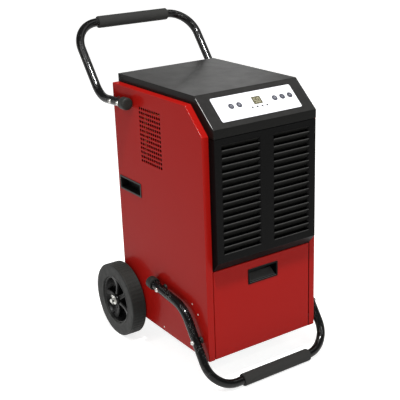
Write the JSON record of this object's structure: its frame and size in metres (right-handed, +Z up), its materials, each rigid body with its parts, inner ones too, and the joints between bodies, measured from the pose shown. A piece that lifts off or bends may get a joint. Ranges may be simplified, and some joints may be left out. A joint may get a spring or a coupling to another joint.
{
  "type": "commercial dehumidifier",
  "caption": "Upright commercial dehumidifier: red steel case, louvred inlet, sloping control face, pull-out water tank, tubular carrying frames and rear wheels.",
  "frame": {"origin": "on the floor, at the middle of the machine's footprint", "axes": "+Z up; -Y towards the front, the side with the inlet grille and the tank; +X to the right seen from the front"},
  "size_m": [0.534, 0.7762, 1.014],
  "materials": {
    "red": "semi-gloss paint",
    "cover": "satin",
    "louvre": "satin black",
    "tube": "gloss black",
    "foam": "matte foam",
    "cap": "matte",
    "rubber": "matte",
    "hub": "satin",
    "steel": "zinc plated",
    "galvanised": "galvanised sheet",
    "label": "satin film",
    "button": "satin",
    "display": "glossy",
    "board": "matte",
    "tank": "satin",
    "float": "matte",
    "filter": "woven mesh",
    "fins": "finned",
    "copper": "drawn copper tube",
    "motor": "satin",
    "fan": "satin",
    "compressor": "satin black"
  },
  "bodies": {
    "cabinet": {"left_side_panel": "red", "right_side_panel": "red", "base_pan": "galvanised", "rear_panel": "red", "bay_divider": "galvanised", "left_grab_cup": "cap", "right_grab_cup": "cap", "top_cover": "cover", "control_label": "label", "control_board": "board", "display_module": "display", "front_grille": "louvre", "air_filter": "filter", "evaporator_coil": "fins", "condenser_coil": "fins", "drip_tray": "fan", "fan_shroud": "galvanised", "fan_motor": "motor", "compressor": "compressor", "suction_accumulator": "copper", "suction_pipe": "copper", "discharge_pipe": "copper", "liquid_line": "copper", "level_switch": "fan", "cord_gland": "cap", "upper_handle_tube": "tube", "upper_handle_sleeve": "foam", "lower_frame_tube": "tube", "lower_frame_sleeve": "foam", "axle": "steel", "upper_handle_end_cap_left": "cap", "upper_handle_bolt_left_1": "steel", "upper_handle_bolt_left_2": "steel", "upper_handle_end_cap_right": "cap", "upper_handle_bolt_right_1": "steel", "upper_handle_bolt_right_2": "steel", "lower_frame_end_cap_left": "cap", "lower_frame_bolt_left_1": "steel", "lower_frame_bolt_left_2": "steel", "lower_frame_end_cap_right": "cap", "lower_frame_bolt_right_1": "steel", "lower_frame_bolt_right_2": "steel", "left_axle_washer": "steel", "left_split_pin": "steel", "right_axle_washer": "steel", "right_split_pin": "steel"},
    "left_wheel": {"left_tyre": "rubber", "left_wheel_hub": "hub"},
    "right_wheel": {"right_tyre": "rubber", "right_wheel_hub": "hub"},
    "fan": {"fan_impeller": "fan"},
    "tank": {"water_tank": "tank", "tank_front_panel": "red", "tank_pull_cup": "cap"},
    "float": {"tank_float": "float"},
    "power_key": {"power_button": "button"},
    "mode_key": {"mode_button": "button"},
    "timer_key": {"timer_button": "button"},
    "humidity_down_key": {"humidity_down_button": "button"},
    "humidity_up_key": {"humidity_up_button": "button"}
  },
  "joints": [
    {"name": "left_wheel_spin", "type": "hinge", "parent": "cabinet", "child": "left_wheel", "pos_m": [-0.2275, 0.1524, 0.122], "axis": [1, 0, 0], "continuous": true},
    {"name": "right_wheel_spin", "type": "hinge", "parent": "cabinet", "child": "right_wheel", "pos_m": [0.2275, 0.1524, 0.122], "axis": [1, 0, 0], "continuous": true},
    {"name": "fan_spin", "type": "hinge", "parent": "cabinet", "child": "fan", "pos_m": [0, -0.1832, 0.585], "axis": [0, 1, 0], "continuous": true},
    {"name": "tank_slide", "type": "slide", "parent": "cabinet", "child": "tank", "axis": [0, -1, 0], "range_m": [0, 0.24]},
    {"name": "float_rise", "type": "slide", "parent": "tank", "child": "float", "axis": [0, 0, 1], "range_m": [0, 0.06]},
    {"name": "power_press", "type": "slide", "parent": "cabinet", "child": "power_key", "axis": [0, 0.6597, -0.7515], "range_m": [0, 0.0012], "stiffness_N_per_m": 500, "springref_m": -0.0005},
    {"name": "mode_press", "type": "slide", "parent": "cabinet", "child": "mode_key", "axis": [0, 0.6597, -0.7515], "range_m": [0, 0.0012], "stiffness_N_per_m": 500, "springref_m": -0.0005},
    {"name": "timer_press", "type": "slide", "parent": "cabinet", "child": "timer_key", "axis": [0, 0.6597, -0.7515], "range_m": [0, 0.0012], "stiffness_N_per_m": 500, "springref_m": -0.0005},
    {"name": "humidity_down_press", "type": "slide", "parent": "cabinet", "child": "humidity_down_key", "axis": [0, 0.6597, -0.7515], "range_m": [0, 0.0012], "stiffness_N_per_m": 500, "springref_m": -0.0005},
    {"name": "humidity_up_press", "type": "slide", "parent": "cabinet", "child": "humidity_up_key", "axis": [0, 0.6597, -0.7515], "range_m": [0, 0.0012], "stiffness_N_per_m": 500, "springref_m": -0.0005}
  ]
}
